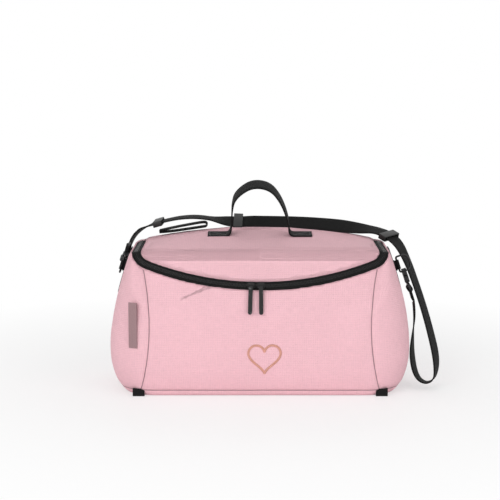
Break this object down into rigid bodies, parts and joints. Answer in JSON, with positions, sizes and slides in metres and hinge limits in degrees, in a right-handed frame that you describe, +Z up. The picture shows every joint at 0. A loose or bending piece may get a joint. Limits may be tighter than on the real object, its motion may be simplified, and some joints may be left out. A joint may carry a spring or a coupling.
{
  "type": "baby changing bag",
  "caption": "Soft boxy baby changing bag with a curved zipped lid, a webbing carry handle, and a clip-on shoulder strap lying over its top and hanging at one end.",
  "frame": {"origin": "middle of the flat base, where the bag stands", "axes": "+Z up, the front with the two zip pulls faces -Y, +X to the viewer's right along the bag's length"},
  "size_m": [0.4848, 0.2081, 0.3063],
  "materials": {
    "front_cloth": "soft pink fine woven cloth over thin foam",
    "end_cloth": "soft pink fine woven cloth over thin foam",
    "base_cloth": "soft pink woven cloth",
    "lid_cloth": "soft pink fine woven cloth over thin foam",
    "lining_cloth": "smooth pale lining cloth",
    "pocket_cloth": "smooth pale lining cloth",
    "board": "flat plastic board",
    "zip_tape": "black woven tape",
    "zip_coil": "black nylon coil",
    "zip_metal": "black painted metal",
    "strap_metal": "dark painted metal, worn bright on its edges",
    "slide_plastic": "black moulded plastic",
    "webbing": "black woven webbing",
    "corner_tab": "black woven tape",
    "label_cloth": "grey woven tape, bare"
  },
  "bodies": {
    "body": {"base_panel": "base_cloth", "front_panel": "front_cloth", "back_panel": "front_cloth", "end_panel_left": "end_cloth", "end_panel_right": "end_cloth", "lining": "lining_cloth", "base_board": "board", "inner_pocket": "pocket_cloth", "zip_tape_body": "zip_tape", "zip_coil_body": "zip_coil", "end_strip_left": "webbing", "end_strip_right": "webbing", "ring_tab_left": "webbing", "ring_tab_right": "webbing", "strap_webbing": "webbing", "strap_slide_right": "slide_plastic", "strap_slide_left": "slide_plastic", "strap_slack_loop": "webbing", "corner_tab_front_left": "corner_tab", "corner_tab_front_right": "corner_tab", "corner_tab_back_left": "corner_tab", "corner_tab_back_right": "corner_tab", "side_label": "label_cloth"},
    "lid": {"lid_panel": "lid_cloth", "lid_lining": "lining_cloth", "zip_tape_lid": "zip_tape", "zip_coil_lid": "zip_coil", "handle_patch_left": "webbing", "handle_patch_right": "webbing"},
    "handle": {"carry_handle": "webbing"},
    "slide_middle": {"strap_slide_middle": "slide_plastic"},
    "slider_left": {"zip_slider_left": "zip_metal"},
    "pull_left": {"zip_pull_left": "zip_metal"},
    "ring_left": {"d_ring_left": "strap_metal"},
    "hook_left": {"snap_hook_left": "strap_metal"},
    "gate_left": {"hook_gate_left": "strap_metal"},
    "swivel_left": {"hook_swivel_left": "strap_metal", "strap_end_left": "webbing"},
    "slider_right": {"zip_slider_right": "zip_metal"},
    "pull_right": {"zip_pull_right": "zip_metal"},
    "ring_right": {"d_ring_right": "strap_metal"},
    "hook_right": {"snap_hook_right": "strap_metal"},
    "gate_right": {"hook_gate_right": "strap_metal"},
    "swivel_right": {"hook_swivel_right": "strap_metal", "strap_end_right": "webbing"}
  },
  "joints": [
    {"name": "lid_hinge", "type": "hinge", "parent": "body", "child": "lid", "pos_m": [0, 0.06, 0.225], "axis": [-1, 0, 0], "range_deg": [0, 85]},
    {"name": "slider_left_run", "type": "hinge", "parent": "lid", "child": "slider_left", "pos_m": [0, 0.09855, 0.55527], "axis": [0, -0.9063, 0.4226], "range_deg": [-19.5, 0]},
    {"name": "slider_right_run", "type": "hinge", "parent": "lid", "child": "slider_right", "pos_m": [0, 0.09855, 0.55527], "axis": [0, -0.9063, 0.4226], "range_deg": [0, 21]},
    {"name": "pull_left_swing", "type": "hinge", "parent": "slider_left", "child": "pull_left", "pos_m": [-0.0136, -0.08903, 0.16313], "axis": [-0.9995, 0.0132, 0.0283], "range_deg": [0, 150]},
    {"name": "pull_right_swing", "type": "hinge", "parent": "slider_right", "child": "pull_right", "pos_m": [0.001, -0.08912, 0.16294], "axis": [-1, -0.001, -0.0021], "range_deg": [0, 150]},
    {"name": "handle_fold", "type": "hinge", "parent": "lid", "child": "handle", "pos_m": [0, 0.01983, 0.23788], "axis": [1, 0, 0], "range_deg": [-60, 65]},
    {"name": "ring_right_swing", "type": "hinge", "parent": "body", "child": "ring_right", "pos_m": [0.20544, 0, 0.17907], "axis": [-0.305, 0, 0.9523], "range_deg": [-6, 6]},
    {"name": "hook_right_swing", "type": "hinge", "parent": "ring_right", "child": "hook_right", "pos_m": [0.21482, 0, 0.16948], "axis": [0.9523, 0, 0.305], "range_deg": [-4, 4]},
    {"name": "gate_right_press", "type": "hinge", "parent": "hook_right", "child": "gate_right", "pos_m": [0.21622, -0.005, 0.16509], "axis": [-0.9523, 0, -0.305], "range_deg": [0, 20], "stiffness_Nm_per_rad": 0.0008},
    {"name": "swivel_right_turn", "type": "hinge", "parent": "hook_right", "child": "swivel_right", "pos_m": [0.21482, 0, 0.16948], "axis": [0.305, 0, -0.9523], "range_deg": [-10, 10]},
    {"name": "ring_left_swing", "type": "hinge", "parent": "body", "child": "ring_left", "pos_m": [-0.20544, 0, 0.17907], "axis": [0.305, 0, 0.9523], "range_deg": [0, 4]},
    {"name": "hook_left_swing", "type": "hinge", "parent": "ring_left", "child": "hook_left", "pos_m": [-0.20359, 0.01746, 0.18486], "axis": [0.2866, -0.342, 0.8949], "range_deg": [-1, 2]},
    {"name": "gate_left_press", "type": "hinge", "parent": "hook_left", "child": "gate_left", "pos_m": [-0.19842, 0.02111, 0.18461], "axis": [-0.2866, 0.342, -0.8949], "range_deg": [0, 20], "stiffness_Nm_per_rad": 0.0008},
    {"name": "swivel_left_turn", "type": "hinge", "parent": "hook_left", "child": "swivel_left", "pos_m": [-0.20359, 0.01746, 0.18486], "axis": [0.1043, 0.9397, 0.3257], "range_deg": [-5, 5]},
    {"name": "strap_slide_run", "type": "slide", "parent": "body", "child": "slide_middle", "axis": [-0.999, 0.025, 0.0375], "range_m": [-0.008, 0.008]}
  ]
}
